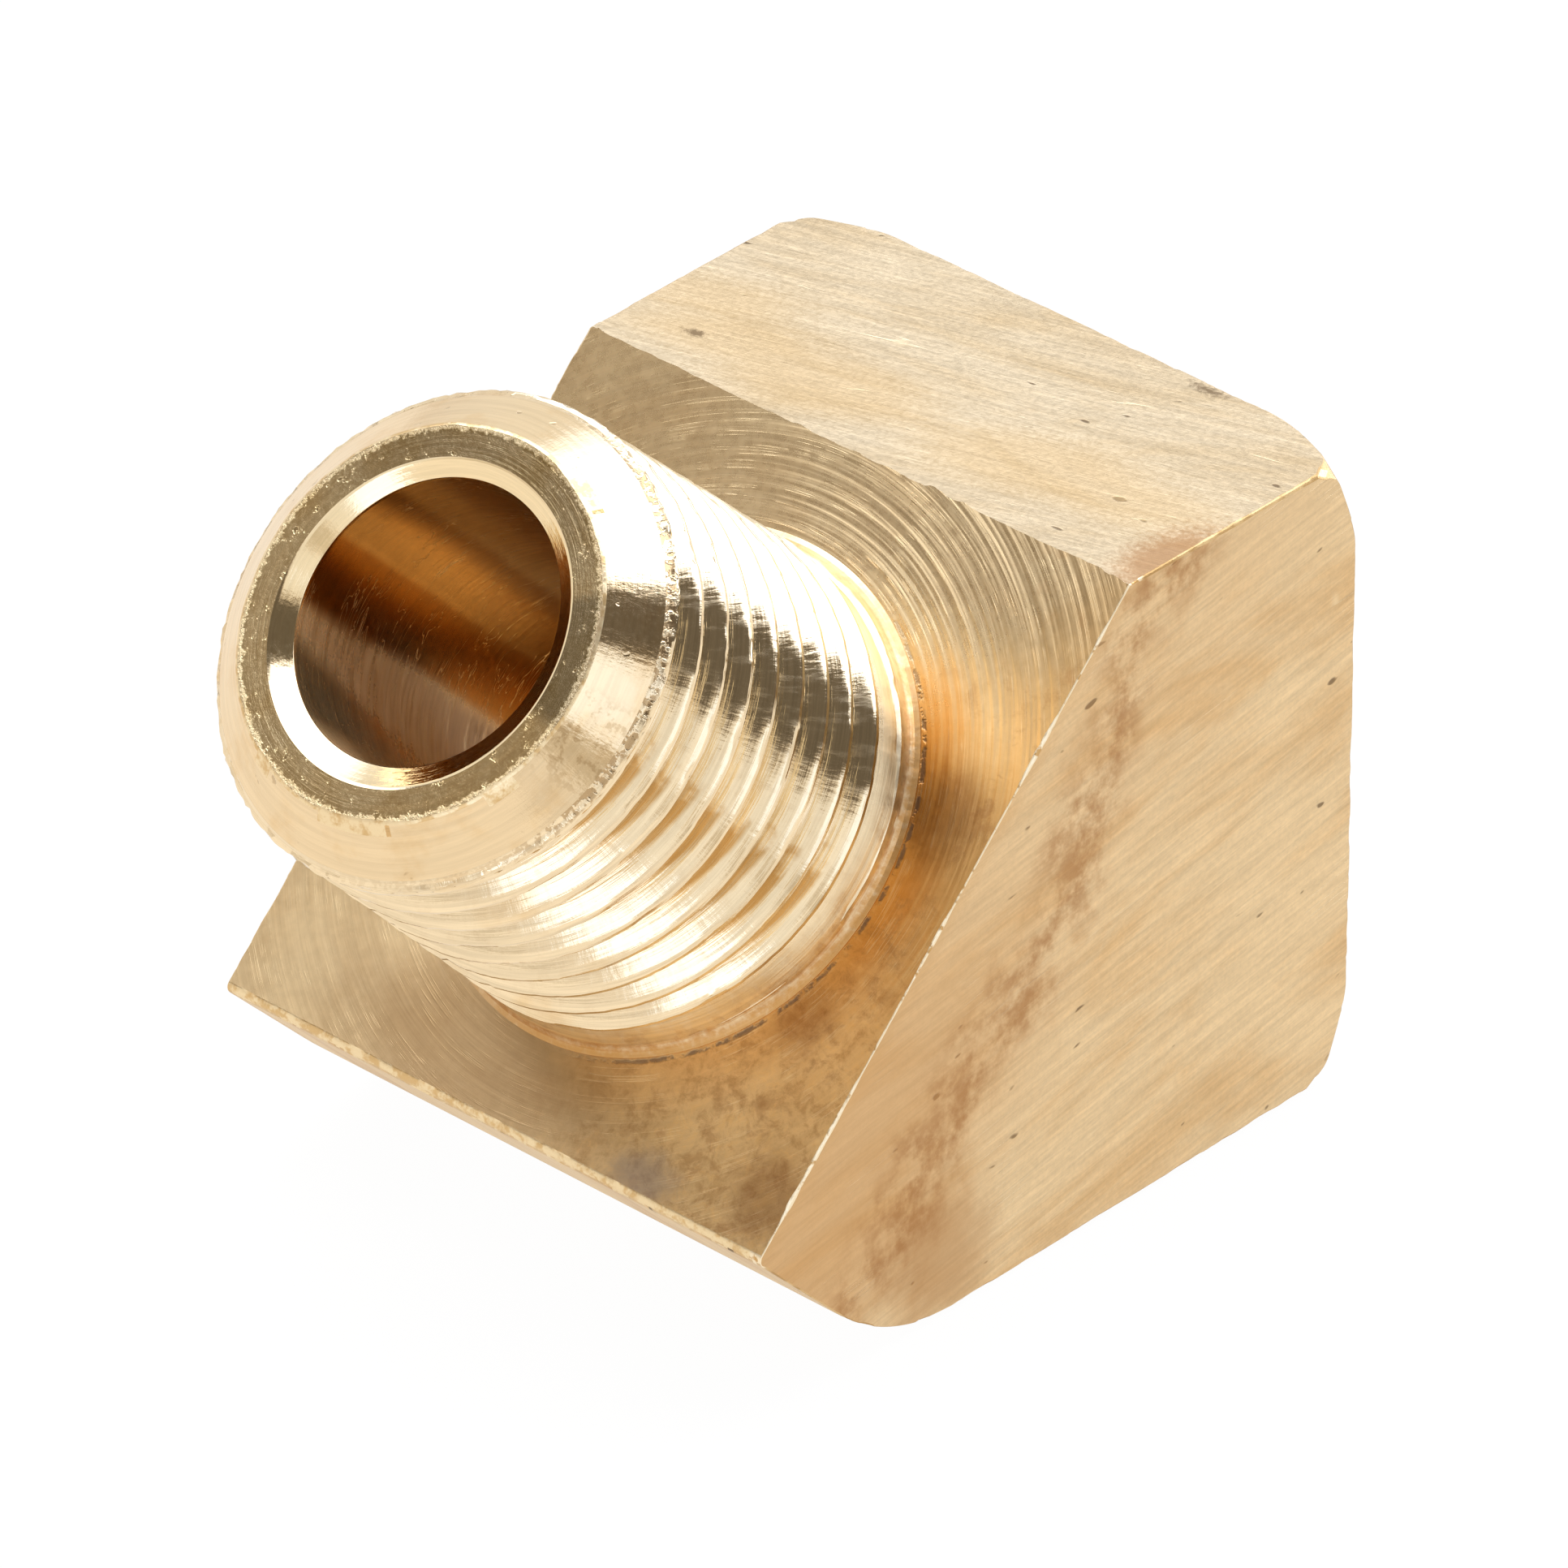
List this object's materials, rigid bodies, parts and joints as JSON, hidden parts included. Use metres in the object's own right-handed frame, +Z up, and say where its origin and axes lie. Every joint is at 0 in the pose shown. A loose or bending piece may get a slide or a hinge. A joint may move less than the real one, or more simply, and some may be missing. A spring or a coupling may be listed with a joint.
{
  "type": "flare fitting",
  "caption": "Square-bar brass 45 degree elbow with a tapered male thread on one end and a threaded port with a flare seat in the other.",
  "frame": {"origin": "on the base face, straight below the point where the port axis meets the nipple axis", "axes": "+X across the bar's width, +Y out of the threaded port, +Z up, away from the base face; the nipple points up and forward, at 45 degrees between -Y and +Z"},
  "size_m": [0.0142, 0.0218, 0.0189],
  "materials": {
    "body_brass": "machined bar brass with tool marks and light tarnish",
    "seat_brass": "fine turned"
  },
  "bodies": {
    "root": {"elbow_body": "body_brass", "flare_seat": "seat_brass"}
  },
  "joints": []
}
